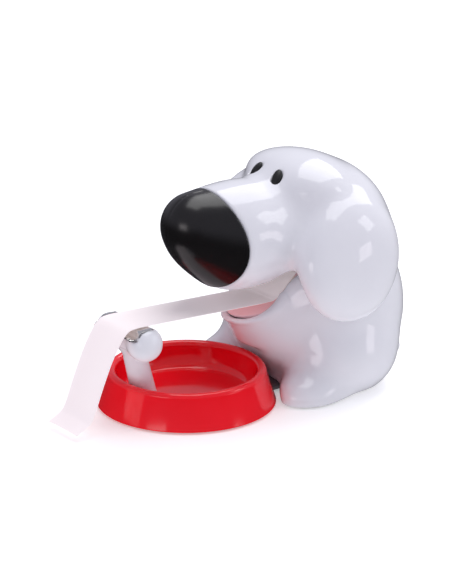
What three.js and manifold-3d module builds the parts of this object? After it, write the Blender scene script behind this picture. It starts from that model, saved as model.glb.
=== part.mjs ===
// Desk tape dispenser shaped as a seated dog that reaches over its food bowl.
// The head is a lid on a neck hinge, the roll turns on a hub inside the body,
// and the tape runs out of the mouth to a toothed blade on the bone in the bowl.
// Millimetres, +Z up, the dog looks along -Y, and its left side is +X.
// The bowl's centre is the design origin; the last lines move the middle of the object there.

import * as THREE from 'three';
import { mergeVertices } from 'three/addons/utils/BufferGeometryUtils.js';
import Module from 'manifold-3d';

const wasm = await Module();
wasm.setup();

// ---------------------------------------------------------------- driving dimensions
const WALL = 2.2;              // moulded wall of the dog and the bowl
const GAP = 0.3;               // clearance between neighbouring pieces
const CELL = 5.75;             // facet size of the sculpted surfaces
const SKIRT_Z = 0.8;           // lower edge of the shells above the table

const BOWL_R = 35.1;           // bowl radius at the table
const BOWL_RIM_R = 30.6;       // outside radius of the rim
const BOWL_MOUTH_R = 27;       // inside radius of the rim
const BOWL_H = 14.8;
const BOWL_FLOOR = 4.9;        // top face of the bowl's floor
const BOWL_MOAT = 1.8;         // gap between the bowl and the body that wraps round it

const PLATE_LOW = 0.8;         // underside of the base plate
const PLATE_TOP = 2.8;
const INSIDE_LOW = PLATE_TOP + GAP;
const PAD_R = 5;               // non-slip pads
const SCREW_R = 1.2;
const SCREW_HEAD_R = 2.2;
const SCREW_TIP = 10.5;

const TAPE_W = 19;             // three-quarter-inch tape
const TAPE_T = 0.4;
const ROLL_Y = 66;             // roll axis
const ROLL_Z = 32;
const ROLL_R = 23;
const CORE_R = 14.4;           // outside of the card core
const CORE_BORE_R = 12.7;      // one-inch core
const AXLE_R = 3;

const HINGE_Y = 85.5;          // neck hinge axis
const HINGE_Z = 54.4;
const HINGE_BARREL_R = 2.4;
const HINGE_ROOM_R = 3.4;      // cleared round the hinge in both shells
const HINGE_ROOM_X = 12.6;
const PIN_R = 1.1;

const BONE_Z = 33;             // centre height of the bone's knobs
const BONE_Y = -27;
const KNOB_X = 10.5;
const KNOB_R = 6.6;
const STEM_SQUASH = 0.8;       // the stem is wider than it is deep
const BLADE_W = 25;

const BODY_BACK_Y = 97.6;      // rearmost point, the tail
const TAPE_END_Y = -58.1;      // foremost point, the curled tape end

// ---------------------------------------------------------------- materials
function finish(color, roughness, metalness = 0) {
  return new THREE.MeshStandardMaterial({ color, roughness, metalness });
}
const white = finish('#eeeef6', 0.18);
const black = finish('#101012', 0.15);
const red = finish('#d8101c', 0.2);
const rose = finish('#c99a9c', 0.5);
const steel = finish('#c9ccd0', 0.25, 1);
const grey = finish('#5c5f66', 0.6);
const rubber = finish('#26262a', 0.9);
const card = finish('#b99a72', 0.9);
const clearTape = finish('#e6ddd2', 0.35);

// ---------------------------------------------------------------- implicit shapes
// Every sculpted surface is a signed distance function of a point [x, y, z].
function smoothMin(a, b, k) {
  const h = Math.max(k - Math.abs(a - b), 0) / k;
  return Math.min(a, b) - h * h * k / 4;
}

function smoothMax(a, b, k) {
  return -smoothMin(-a, -b, k);
}

function ellipsoid([x, y, z], centre, radii, tilt = 0) {
  // tilt turns the ellipsoid about Y, in degrees
  const t = THREE.MathUtils.degToRad(tilt);
  const dx = x - centre[0];
  const dz = z - centre[2];
  const q = [
    dx * Math.cos(t) - dz * Math.sin(t),
    y - centre[1],
    dx * Math.sin(t) + dz * Math.cos(t),
  ];
  const k0 = Math.hypot(q[0] / radii[0], q[1] / radii[1], q[2] / radii[2]);
  const k1 = Math.hypot(q[0] / radii[0] ** 2, q[1] / radii[1] ** 2, q[2] / radii[2] ** 2);
  return k0 * (k0 - 1) / (k1 + 1e-9);
}

function roundCone([x, y, z], start, end, startR, endR) {
  // the hull of two spheres
  const axis = [end[0] - start[0], end[1] - start[1], end[2] - start[2]];
  const length2 = axis[0] ** 2 + axis[1] ** 2 + axis[2] ** 2;
  const taper = startR - endR;
  const a2 = length2 - taper * taper;
  const p = [x - start[0], y - start[1], z - start[2]];
  const along = p[0] * axis[0] + p[1] * axis[1] + p[2] * axis[2];
  const beyond = along - length2;
  const across2 = (p[0] * length2 - along * axis[0]) ** 2
    + (p[1] * length2 - along * axis[1]) ** 2
    + (p[2] * length2 - along * axis[2]) ** 2;
  const along2 = along * along * length2;
  const beyond2 = beyond * beyond * length2;
  const k = Math.sign(taper) * taper * taper * across2;
  if (Math.sign(beyond) * a2 * beyond2 > k) {
    return Math.sqrt(across2 + beyond2) / length2 - endR;
  }
  if (Math.sign(along) * a2 * along2 < k) {
    return Math.sqrt(across2 + along2) / length2 - startR;
  }
  return (Math.sqrt(across2 * a2 / length2) + along * taper) / length2 - startR;
}

function ball([x, y, z], centre, radius) {
  return Math.hypot(x - centre[0], y - centre[1], z - centre[2]) - radius;
}

function mirrored([x, y, z]) {
  return [Math.abs(x), y, z];
}

// the head: snout, skull and brow, without the ears
function snout(p) {
  const tip = roundCone(p, [0, 3, 72.3], [0, 21.7, 63.7], 11.8, 19.9);
  const muzzle = roundCone(p, [0, 21.7, 63.7], [0, 34.3, 63.5], 19.9, 20.8);
  return smoothMin(smoothMin(tip, ball(p, [0, 9, 67], 14.8), 6), muzzle, 6);
}

function skull(p) {
  const dome = ellipsoid(p, [0, 61.9, 62], [35, 26.4, 26]);
  const brow = ellipsoid(p, [0, 52.2, 81.9], [23.8, 13.5, 9.1]);
  return smoothMin(smoothMin(snout(p), dome, 7.9), brow, 8.5);
}

function ear(p) {
  return ellipsoid(mirrored(p), [32, 54, 53.1], [10.6, 21.7, 21.1], -10);
}

// the body: torso, thighs, sole, feet, chest and lower jaw
function torso(p) {
  const q = mirrored(p);
  const belly = ellipsoid(p, [0, 64, 29.6], [36.5, 32, 38]);
  const thigh = ellipsoid(q, [20, 60.5, 15], [20.4, 22.8, 18.8]);
  const sole = ellipsoid(q, [9, 60, -2], [18, 25, 12]);
  const chest = roundCone(p, [0, 28.2, 35.3], [0, 44.5, 26.5], 9.5, 19.2);
  const jaw = ellipsoid(p, [0, 25.4, 40], [13.4, 17.4, 8.3]);
  const foot = ellipsoid(q, [27, 36, 3], [9, 9.5, 8]);
  const trunk = smoothMin(smoothMin(belly, thigh, 5), sole, 6);
  return smoothMin(smoothMin(trunk, smoothMin(chest, jaw, 7), 6.7), foot, 8);
}

function tail(p) {
  return roundCone(p, [0, 84, 8], [9, 94.6, 5.2], 6, 3.4);
}

function bone(p) {
  const q = mirrored(p);
  const knob = ball(q, [KNOB_X, BONE_Y, BONE_Z], KNOB_R);
  const bar = roundCone(q, [0, BONE_Y + 0.5, BONE_Z - 1.5], [KNOB_X, BONE_Y, BONE_Z], 4.5, 5);
  const squashed = [p[0] * STEM_SQUASH, p[1], p[2]];
  const stem = roundCone(squashed, [0, BONE_Y + 1.5, BONE_Z - 3], [0, BONE_Y + 7.4, 6], 4.1, 4.7);
  return smoothMin(smoothMin(knob, bar, 3), stem, 3);
}

// ---------------------------------------------------------------- surface from a distance function
const CORNERS = [0, 1, 2, 3, 4, 5, 6, 7].map((i) => [i & 1, (i >> 1) & 1, (i >> 2) & 1]);
const EDGES = [
  [0, 1], [2, 3], [4, 5], [6, 7], [0, 2], [1, 3],
  [4, 6], [5, 7], [0, 4], [1, 5], [2, 6], [3, 7],
];

function slope(f, p) {
  const e = 0.02;
  return [0, 1, 2].map((i) => {
    const more = [...p];
    const less = [...p];
    more[i] += e;
    less[i] -= e;
    return (f(more) - f(less)) / (2 * e);
  });
}

function ontoSurface(f, start) {
  let p = start;
  for (let pass = 0; pass < 4; pass += 1) {
    const g = slope(f, p);
    const scale = f(p) / (g[0] ** 2 + g[1] ** 2 + g[2] ** 2 + 1e-9);
    p = p.map((value, i) => value - scale * g[i]);
  }
  return p;
}

// surface nets: one vertex in each cell that the surface crosses, one quad on each crossed edge
function sculpt(f, low, high, cell = CELL) {
  const count = [0, 1, 2].map((i) => Math.ceil((high[i] - low[i]) / cell) + 1);
  const at = (i, j, k) => i + count[0] * (j + count[1] * k);
  const place = (i, j, k) => [low[0] + i * cell, low[1] + j * cell, low[2] + k * cell];
  const value = new Float64Array(count[0] * count[1] * count[2]);
  for (let k = 0; k < count[2]; k += 1) {
    for (let j = 0; j < count[1]; j += 1) {
      for (let i = 0; i < count[0]; i += 1) value[at(i, j, k)] = f(place(i, j, k));
    }
  }
  const position = [];
  const vertexOf = new Map();
  const vertexIn = (i, j, k) => {
    const key = at(i, j, k);
    if (vertexOf.has(key)) return vertexOf.get(key);
    const values = CORNERS.map(([a, b, c]) => value[at(i + a, j + b, k + c)]);
    const sum = [0, 0, 0];
    let crossed = 0;
    for (const [a, b] of EDGES) {
      if (values[a] < 0 === values[b] < 0) continue;
      const t = values[a] / (values[a] - values[b]);
      for (let n = 0; n < 3; n += 1) {
        sum[n] += CORNERS[a][n] + t * (CORNERS[b][n] - CORNERS[a][n]);
      }
      crossed += 1;
    }
    const base = place(i, j, k);
    const middle = sum.map((total, n) => base[n] + (total / crossed) * cell);
    position.push(...ontoSurface(f, middle));
    vertexOf.set(key, position.length / 3 - 1);
    return vertexOf.get(key);
  };
  const index = [];
  for (let k = 1; k < count[2] - 1; k += 1) {
    for (let j = 1; j < count[1] - 1; j += 1) {
      for (let i = 1; i < count[0] - 1; i += 1) {
        const inside = value[at(i, j, k)] < 0;
        const rings = [
          [value[at(i + 1, j, k)], [[i, j, k], [i, j - 1, k], [i, j - 1, k - 1], [i, j, k - 1]]],
          [value[at(i, j + 1, k)], [[i, j, k], [i, j, k - 1], [i - 1, j, k - 1], [i - 1, j, k]]],
          [value[at(i, j, k + 1)], [[i, j, k], [i - 1, j, k], [i - 1, j - 1, k], [i, j - 1, k]]],
        ];
        for (const [next, ring] of rings) {
          if (inside === next < 0) continue;
          const quad = ring.map(([a, b, c]) => vertexIn(a, b, c));
          if (!inside) quad.reverse();
          index.push(quad[0], quad[1], quad[2], quad[0], quad[2], quad[3]);
        }
      }
    }
  }
  const geometry = new THREE.BufferGeometry();
  geometry.setAttribute('position', new THREE.Float32BufferAttribute(position, 3));
  geometry.setIndex(index);
  return geometry;
}

// ---------------------------------------------------------------- booleans
function welded(geometry) {
  // one vertex for each place, and no triangle with two corners at one place
  const bare = new THREE.BufferGeometry();
  bare.setAttribute('position', geometry.getAttribute('position'));
  bare.setIndex(geometry.index);
  const merged = mergeVertices(bare, 1e-4);
  const corners = [...merged.index.array];
  const kept = [];
  for (let i = 0; i < corners.length; i += 3) {
    const [a, b, c] = corners.slice(i, i + 3);
    if (a !== b && b !== c && c !== a) kept.push(a, b, c);
  }
  merged.setIndex(kept);
  return merged;
}

function solid(geometry) {
  const source = welded(geometry);
  return new wasm.Manifold(new wasm.Mesh({
    numProp: 3,
    vertProperties: new Float32Array(source.getAttribute('position').array),
    triVerts: new Uint32Array(source.index.array),
  }));
}

function surface(body) {
  // specks left where two curved surfaces graze each other are dropped
  const parts = body.decompose().filter((part) => part.volume() > 0.05);
  const mesh = wasm.Manifold.compose(parts).simplify(0.02).getMesh();
  const position = [];
  for (let i = 0; i < mesh.vertProperties.length; i += mesh.numProp) {
    position.push(...mesh.vertProperties.slice(i, i + 3));
  }
  const geometry = new THREE.BufferGeometry();
  geometry.setAttribute('position', new THREE.Float32BufferAttribute(position, 3));
  geometry.setIndex([...mesh.triVerts]);
  return geometry;
}

function join(...geometries) {
  return surface(wasm.Manifold.union(geometries.map(solid)));
}

function cut(geometry, ...tools) {
  return surface(tools.reduce((body, tool) => body.subtract(solid(tool)), solid(geometry)));
}

function common(a, b) {
  return surface(solid(a).intersect(solid(b)));
}

// ---------------------------------------------------------------- plain shapes
function block(low, high) {
  const size = [0, 1, 2].map((i) => high[i] - low[i]);
  const box = new THREE.BoxGeometry(...size);
  return box.translate(low[0] + size[0] / 2, low[1] + size[1] / 2, low[2] + size[2] / 2);
}

function post(x, y, low, high, radius, sides = 20) {
  // a cylinder standing along Z
  const rod = new THREE.CylinderGeometry(radius, radius, high - low, sides);
  return rod.rotateX(Math.PI / 2).translate(x, y, (low + high) / 2);
}

function axle(y, z, left, right, radius, sides = 24) {
  // a cylinder lying along X
  const rod = new THREE.CylinderGeometry(radius, radius, right - left, sides);
  return rod.rotateZ(Math.PI / 2).translate((left + right) / 2, y, z);
}

function prism(outline, left, right) {
  // a closed outline of [y, z] points drawn out along X
  const shape = new THREE.Shape(outline.map(([y, z]) => new THREE.Vector2(y, z)));
  const body = new THREE.ExtrudeGeometry(shape, { depth: right - left, bevelEnabled: false });
  body.applyMatrix4(new THREE.Matrix4().set(
    0, 0, 1, left,
    1, 0, 0, 0,
    0, 1, 0, 0,
    0, 0, 0, 1,
  ));
  return body;
}

function turned(profile, sides) {
  // a closed profile of [radius, z] points turned about Z
  const points = profile.map(([r, z]) => new THREE.Vector2(r, z));
  const body = new THREE.LatheGeometry([...points, points[0]], sides);
  return body.rotateX(Math.PI / 2);
}

function strip(path, thickness) {
  // the outline of a thin band whose middle follows a path of [y, z] points
  const upper = [];
  const lower = [];
  path.forEach(([y, z], i) => {
    const before = path[Math.max(i - 1, 0)];
    const after = path[Math.min(i + 1, path.length - 1)];
    const length = Math.hypot(after[0] - before[0], after[1] - before[1]);
    const ny = -(after[1] - before[1]) / length * thickness / 2;
    const nz = (after[0] - before[0]) / length * thickness / 2;
    upper.push([y + ny, z + nz]);
    lower.unshift([y - ny, z - nz]);
  });
  return [...upper, ...lower];
}

function smoothPath(points, count) {
  const curve = new THREE.CatmullRomCurve3(
    points.map(([y, z]) => new THREE.Vector3(0, y, z)), false, 'centripetal');
  return curve.getSpacedPoints(count).map((p) => [p.y, p.z]);
}

// ---------------------------------------------------------------- object and piece list
const dispenser = new THREE.Group();
dispenser.name = 'tape_dispenser';

function add(name, geometry, material) {
  const mesh = new THREE.Mesh(geometry, material);
  mesh.name = name;
  dispenser.add(mesh);
}

// ---------------------------------------------------------------- body shell
// a cup open at the top for the roll and at the mouth for the tape
const LIP = [
  [-20, 31.5], [16, 30.6], [21.5, 30.2], [25, 31.2], [29, 33.6], [33, 37],
  [38, 44], [42, 49], [47, 52.4], [54, 54], [120, 54],
];
const SKY = 140;

function bowlMoat(extra) {
  const spread = BOWL_MOAT + extra;
  const top = BOWL_H + 2.4 + extra;
  const lean = (BOWL_R - BOWL_RIM_R) / BOWL_H;
  return turned([
    [0, -20],
    [BOWL_R + spread + 20 * lean, -20],
    [BOWL_R + spread - top * lean, top],
    [0, top],
  ], 32);
}

const BODY_SCREWS = [[-18.6, 51], [18.6, 51], [-18.6, 69], [18.6, 69]];
const RIB_REACH = 20;
const LUG_NEAR = 8.3;
const LUG_FAR = 11.3;

function bodyLug(side) {
  const [left, right] = side < 0 ? [-LUG_FAR, -LUG_NEAR] : [LUG_NEAR, LUG_FAR];
  const web = prism(
    [[86.6, 47], [90.2, 45.2], [90.6, 48.6], [HINGE_Y + 1.9, HINGE_Z + 0.9], [HINGE_Y - 1.7, HINGE_Z - 0.7]],
    left, right);
  return join(axle(HINGE_Y, HINGE_Z, left, right, HINGE_BARREL_R), web);
}

function hingeRoom() {
  return axle(HINGE_Y, HINGE_Z, -HINGE_ROOM_X, HINGE_ROOM_X, HINGE_ROOM_R);
}

function screwBoss([x, y]) {
  const outward = Math.sign(x) * RIB_REACH;
  const rib = block([Math.min(x, x + outward), y - 1, INSIDE_LOW], [Math.max(x, x + outward), y + 1, 12]);
  return join(post(x, y, INSIDE_LOW, 13, 3, 12), rib);
}

function bodyShell() {
  const low = [-46, 0, -24];
  const high = [46, 106, 72];
  const outer = cut(sculpt(torso, low, high), bowlMoat(0));
  const inner = cut(sculpt((p) => torso(p) + WALL, low, high), bowlMoat(WALL));
  const tailLump = sculpt(tail, [-16, 74, -6], [24, 104, 20], 3.2);
  const aboveLip = prism([...LIP, [120, SKY], [-20, SKY]], -60, 60);
  const belowSkirt = block([-60, -10, -30], [60, 120, SKIRT_Z]);
  const plateNotch = block([-13, 20, -1], [13, 46, INSIDE_LOW]);
  const shell = cut(join(outer, tailLump), inner, aboveLip, belowSkirt, plateNotch);
  const insideWall = sculpt((p) => torso(p) + WALL / 2, low, high);
  const bosses = common(join(...BODY_SCREWS.map(screwBoss)), insideWall);
  const pinBore = axle(HINGE_Y, HINGE_Z, -30, 30, PIN_R + GAP, 12);
  const pilots = BODY_SCREWS.map(([x, y]) => post(x, y, 0, 11.5, SCREW_R + GAP, 12));
  const cleared = cut(shell, hingeRoom());
  return cut(join(cleared, bodyLug(-1), bodyLug(1), bosses), pinBore, ...pilots);
}

// ---------------------------------------------------------------- head shell
// the roof of the mouth follows this line; behind the mouth it is the seam with the body
const EAR_INNER_X = 24;
const EAR_BLEND = 13;
const NOSE_RIM_Y = 10.8;
const ROOF = [
  [-30, 20], [16, 30], [21, 40], [27, 42.6], [33.5, 46], [37, 51.8],
  [41, 57.6], [48, 57], [56, 54.8], [120, 54.8],
];

function aheadOf(shift) {
  // the space in front of the curved sheet where the black cap ends
  const sheet = new THREE.Shape();
  sheet.moveTo(-40, -60);
  sheet.lineTo(40, -60);
  for (let x = 40; x >= -40; x -= 4) sheet.lineTo(x, NOSE_RIM_Y + shift + x ** 2 / 80);
  return new THREE.ExtrudeGeometry(sheet, { depth: 140, bevelEnabled: false });
}

function headShell() {
  const low = [-52, -16, 18];
  const high = [52, 106, 100];
  const outside = sculpt((p) => smoothMin(skull(p), ear(p), EAR_BLEND), low, high);
  const inside = cut(sculpt((p) => skull(p) + WALL, low, high), aheadOf(WALL));
  const belowRoof = prism([...ROOF, [120, -60], [-30, -60]], -EAR_INNER_X, EAR_INNER_X);
  const bodyRoom = sculpt((p) => torso(p) - 0.7, [-48, 0, -24], [48, 106, 76]);
  const shell = cut(outside, aheadOf(0), belowRoof, bodyRoom, inside, hingeRoom());
  const web = prism(
    [[82.6, 60.4], [86.4, 60.4], [HINGE_Y + 2.2, HINGE_Z + 0.4], [HINGE_Y - 2.2, HINGE_Z - 0.4]],
    -7.8, 7.8);
  const lug = join(axle(HINGE_Y, HINGE_Z, -7.8, 7.8, HINGE_BARREL_R), web);
  return cut(join(shell, lug), axle(HINGE_Y, HINGE_Z, -30, 30, PIN_R + GAP, 16));
}

// ---------------------------------------------------------------- nose and eyes
const EYE_AT = [6.6, 38.2, 85.55];
const EYE_RADII = [2.1, 1.4, 3.4];
const EYE_LEAN = 50;           // degrees that the brow leans back

function eye(side, growth = 0) {
  const ball = new THREE.SphereGeometry(1, 12, 8);
  ball.scale(...EYE_RADII.map((radius) => radius + growth));
  ball.rotateX(THREE.MathUtils.degToRad(-EYE_LEAN));
  return ball.translate(side * EYE_AT[0], EYE_AT[1], EYE_AT[2]);
}

function noseCap() {
  const low = [-28, -18, 34];
  const high = [28, 62, 94];
  const cap = common(sculpt(snout, low, high, 5), aheadOf(-GAP));
  return cut(cap, sculpt((p) => snout(p) + WALL, low, high, 5));
}

// ---------------------------------------------------------------- bowl, base and fasteners
const RING_SCREW_R = 28.8;
const BOWL_SCREWS = [30, 150, 270].map((degrees) => {
  const a = THREE.MathUtils.degToRad(degrees);
  return [RING_SCREW_R * Math.cos(a), RING_SCREW_R * Math.sin(a)];
});
const BONE_SCREW = [0, BONE_Y + 7];
const PADS = [[-17, -14], [17, -14], [-18, 60], [18, 60], [0, 75]];

function bowlShell() {
  const lean = (BOWL_R - BOWL_RIM_R) / BOWL_H;
  const outerAt = (z) => BOWL_R - lean * z;
  const rim = [0, 30, 60, 90, 120, 150, 180].map((degrees) => {
    const a = THREE.MathUtils.degToRad(degrees);
    return [29.15 + 1.95 * Math.cos(a), BOWL_H - 1.95 + 1.95 * Math.sin(a)];
  });
  const profile = [
    [0, INSIDE_LOW],
    [27.6, INSIDE_LOW],
    [28.6, 8],
    [outerAt(8) - WALL, 8],
    [outerAt(SKIRT_Z) - WALL, SKIRT_Z],
    [outerAt(SKIRT_Z), SKIRT_Z],
    ...rim,
    [25.6, BOWL_FLOOR + 1.6],
    [24.2, BOWL_FLOOR],
    [0, BOWL_FLOOR],
  ];
  const bosses = BOWL_SCREWS.map(([x, y]) => post(x, y, INSIDE_LOW, 9, 2.1, 12));
  const pilots = BOWL_SCREWS.map(([x, y]) => post(x, y, 0, 7.3, SCREW_R + GAP, 12));
  const notch = block([-13, 20, -1], [13, 46, INSIDE_LOW]);
  const boneHole = post(...BONE_SCREW, 0, 10, SCREW_R + GAP, 12);
  return cut(join(turned(profile, 48), ...bosses), notch, boneHole, ...pilots);
}

function basePlate() {
  const room = sculpt((p) => torso(p) + WALL + GAP + 0.4, [-46, 0, -24], [46, 106, 72]);
  const underBody = cut(
    common(room, block([-60, 0, PLATE_LOW], [60, 110, PLATE_TOP])),
    bowlMoat(WALL + GAP));
  const underBowl = post(0, 0, PLATE_LOW, PLATE_TOP, 31.5, 48);
  const bridge = block([-12, 20, PLATE_LOW], [12, 46, PLATE_TOP]);
  const screwPlaces = [...BODY_SCREWS, ...BOWL_SCREWS, BONE_SCREW];
  const holes = screwPlaces.map(([x, y]) => post(x, y, 0, 5, SCREW_R + GAP, 12));
  const sinks = screwPlaces.map(([x, y]) => post(x, y, 0, 1.9, SCREW_HEAD_R + GAP, 12));
  const padSeats = PADS.map(([x, y]) => post(x, y, 0, 1.6, PAD_R + GAP, 20));
  return cut(join(underBody, underBowl, bridge), ...holes, ...sinks, ...padSeats);
}

function screw([x, y], tip) {
  return join(
    post(x, y, PLATE_LOW + 0.1, 1.6, SCREW_HEAD_R, 16),
    post(x, y, 1.2, tip, SCREW_R, 12));
}

// ---------------------------------------------------------------- bone, blade and tape
function boneStand() {
  const low = [-20, -40, -2];
  const high = [20, -8, 44];
  const seat = prism(
    [[-31, 30], [-31.5, 35], [-30.6, 37.4], [-30, 38.3], [-23.8, 38.3], [-22.6, 36], [-23, 30]],
    -12.7, 12.7);
  const notch = block([-13, -40, 38.4], [13, 0, 50]);
  const step = block([-13, -40, 37], [13, -30.1, 50]);
  const front = block([-13, -40, 35.4], [13, -31.6, 50]);
  const foot = block([-30, -60, -10], [30, 10, BOWL_FLOOR + GAP]);
  const pilot = post(...BONE_SCREW, 0, 12, SCREW_R + GAP, 12);
  return cut(join(sculpt(bone, low, high, 2.6), seat), notch, step, front, foot, pilot);
}

function blade() {
  const path = [[-24.4, 38.95], [-30.2, 38.95], [-31.6, 37.9], [-34.6, 36.5]];
  const band = prism(strip(path, 0.6), -BLADE_W / 2, BLADE_W / 2);
  const pitch = BLADE_W / 12;
  const teeth = new THREE.Shape();
  teeth.moveTo(-20, -33.3);
  for (let i = 0; i <= 12; i += 1) {
    teeth.lineTo(-BLADE_W / 2 + (i - 0.5) * pitch, -34.9);
    teeth.lineTo(-BLADE_W / 2 + i * pitch, -33.3);
  }
  teeth.lineTo(20, -33.3);
  teeth.lineTo(20, -40);
  teeth.lineTo(-20, -40);
  const tool = new THREE.ExtrudeGeometry(teeth, { depth: 6, bevelEnabled: false });
  return cut(band, tool.translate(0, 0, 33));
}

// the middle of the tape, from the roll to the curled end
const TAPE_PATH = [
  [50.5, 49.9], [44, 44.2], [38.5, 39.2], [35.8, 37.3], [32, 36.9], [14, 37.7],
  [-10, 38.9], [-24, 39.7], [-30.2, 39.8], [-34, 38.9], [-37.4, 35.4], [-41.6, 28.4],
  [-46, 18.6], [-49.6, 9.6], [-51.6, 6.2], [-54, 4.6], [-58, 2.6],
];

function tapeWeb() {
  return prism(strip(smoothPath(TAPE_PATH, 34), TAPE_T), -TAPE_W / 2, TAPE_W / 2);
}

// ---------------------------------------------------------------- roll, hub and cradle
function alongX(profile, sides) {
  // a closed profile of [radius, x] points turned about the roll axis
  return turned(profile, sides).rotateY(Math.PI / 2).translate(0, ROLL_Y, ROLL_Z);
}

function ring(inner, outer, half, sides) {
  return alongX([[inner, -half], [outer, -half], [outer, half], [inner, half]], sides);
}

function hub(side) {
  const spigot = CORE_BORE_R - GAP;
  const flange = TAPE_W / 2 + GAP;
  const profile = [
    [0, flange - 1.6],
    [spigot - 2, flange - 1.6],
    [spigot - 2, GAP],
    [spigot, GAP],
    [spigot, flange],
    [CORE_R + 1.2, flange],
    [CORE_R + 1.2, flange + 1.3],
    [AXLE_R, flange + 1.3],
    [AXLE_R, 15.8],
    [0, 15.8],
  ];
  const half = turned(profile, 24).rotateY(side * Math.PI / 2);
  return half.translate(0, ROLL_Y, ROLL_Z);
}

function cradle() {
  const slotW = AXLE_R + 0.35;
  const arms = [-1, 1].map((side) => {
    const [left, right] = side < 0 ? [-15.2, -12.2] : [12.2, 15.2];
    const arm = prism([[56, 4], [76, 4], [70.5, 37], [61.5, 37]], left, right);
    const throat = block([left - 1, ROLL_Y - slotW, ROLL_Z], [right + 1, ROLL_Y + slotW, 60]);
    return cut(arm, throat, axle(ROLL_Y, ROLL_Z, left - 1, right + 1, slotW));
  });
  return join(block([-15.2, 56, INSIDE_LOW], [15.2, 76, 5.1]), ...arms);
}

function mouthLiner() {
  const floor = prism(strip([[17, 30.4], [26, 31.6], [34, 33.2], [38, 34.8], [42, 38.8]], 1.6), -30, 30);
  const room = sculpt((p) => torso(p) + WALL + 0.7, [-46, 0, -24], [46, 106, 72], 4);
  return common(floor, room);
}

// ---------------------------------------------------------------- the pieces
add('body_shell', bodyShell(), white);
add('base_plate', basePlate(), grey);
add('bowl', bowlShell(), red);
add('bone_stand', boneStand(), white);
add('cutter_blade', blade(), steel);
add('mouth_liner', mouthLiner(), rose);
add('tape_web', tapeWeb(), clearTape);
add('roll_cradle', cradle(), grey);
add('ballast_block', block([-15, 42.6, INSIDE_LOW], [15, 54.6, 11]), steel);
add('hinge_pin', axle(HINGE_Y, HINGE_Z, -LUG_FAR - 0.6, LUG_FAR + 0.6, PIN_R, 16), steel);
BODY_SCREWS.forEach((place, i) => add(`body_screw_${i + 1}`, screw(place, SCREW_TIP), steel));
BOWL_SCREWS.forEach((place, i) => add(`bowl_screw_${i + 1}`, screw(place, 6.8), steel));
add('bone_screw', screw(BONE_SCREW, SCREW_TIP), steel);
PADS.forEach(([x, y], i) => add(`foot_pad_${i + 1}`, post(x, y, 0, 1.3, PAD_R, 20), rubber));

add('head_shell', cut(headShell(), eye(-1, GAP), eye(1, GAP)), white);
add('nose_cap', noseCap(), black);
add('eye_left', eye(1), black);
add('eye_right', eye(-1), black);

add('tape_roll', ring(CORE_R + GAP, ROLL_R, TAPE_W / 2, 48), clearTape);
add('tape_core', ring(CORE_BORE_R, CORE_R, TAPE_W / 2, 32), card);
add('hub_left', hub(1), grey);
add('hub_right', hub(-1), grey);

const middleY = (BODY_BACK_Y + TAPE_END_Y) / 2;
dispenser.position.set(0, -middleY, 0);
dispenser.updateMatrixWorld(true);

export default dispenser;
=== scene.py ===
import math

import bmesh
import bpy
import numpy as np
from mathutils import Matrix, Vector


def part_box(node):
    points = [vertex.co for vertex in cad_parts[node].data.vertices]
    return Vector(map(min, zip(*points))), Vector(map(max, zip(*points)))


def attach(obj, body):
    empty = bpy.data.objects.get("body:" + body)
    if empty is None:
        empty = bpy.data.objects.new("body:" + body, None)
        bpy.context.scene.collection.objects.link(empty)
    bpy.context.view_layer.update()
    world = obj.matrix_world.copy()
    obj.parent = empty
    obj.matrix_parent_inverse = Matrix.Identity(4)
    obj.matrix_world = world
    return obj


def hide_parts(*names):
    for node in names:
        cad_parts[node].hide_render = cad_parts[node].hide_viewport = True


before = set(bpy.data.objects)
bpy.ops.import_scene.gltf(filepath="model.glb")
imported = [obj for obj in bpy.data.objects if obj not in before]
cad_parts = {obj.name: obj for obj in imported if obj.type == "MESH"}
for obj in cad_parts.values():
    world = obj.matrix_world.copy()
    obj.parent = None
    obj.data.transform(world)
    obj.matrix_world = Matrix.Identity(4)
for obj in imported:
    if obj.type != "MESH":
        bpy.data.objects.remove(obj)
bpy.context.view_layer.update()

# The looks of the dog-shaped tape dispenser. Lengths in this file are millimetres in the design
# frame, whose origin is the bowl's centre on the table; to_row() turns them into the row frame's
# metres. The sculpted surfaces use the CAD part's own distance functions, with a finer cell and
# with small additions: a fuller foot, a bead on the lower lip, the liner's cheeks and a nose seam.

MM = 0.001

# ---------------------------------------------------------------- places read from the frame
bowl_low, bowl_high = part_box("bowl")
SHIFT = Vector((0, (bowl_low.y + bowl_high.y) / 2, 0))


def design_box(node):
    """A CAD node's lowest and highest corners, in millimetres of the design frame."""
    return [np.array(corner - SHIFT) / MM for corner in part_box(node)]


roll_low, roll_high = design_box("tape_roll")
core_low, core_high = design_box("tape_core")
pin_low, pin_high = design_box("hinge_pin")
ballast_low, ballast_high = design_box("ballast_block")
eye_low, eye_high = design_box("eye_left")

TAPE_W = roll_high[0] - roll_low[0]
ROLL_R = (roll_high[2] - roll_low[2]) / 2
ROLL_Y = (roll_low[1] + roll_high[1]) / 2
ROLL_Z = (roll_low[2] + roll_high[2]) / 2
CORE_R = (core_high[2] - core_low[2]) / 2
HINGE_Y = (pin_low[1] + pin_high[1]) / 2
HINGE_Z = (pin_low[2] + pin_high[2]) / 2
PIN_R = (pin_high[2] - pin_low[2]) / 2

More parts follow.
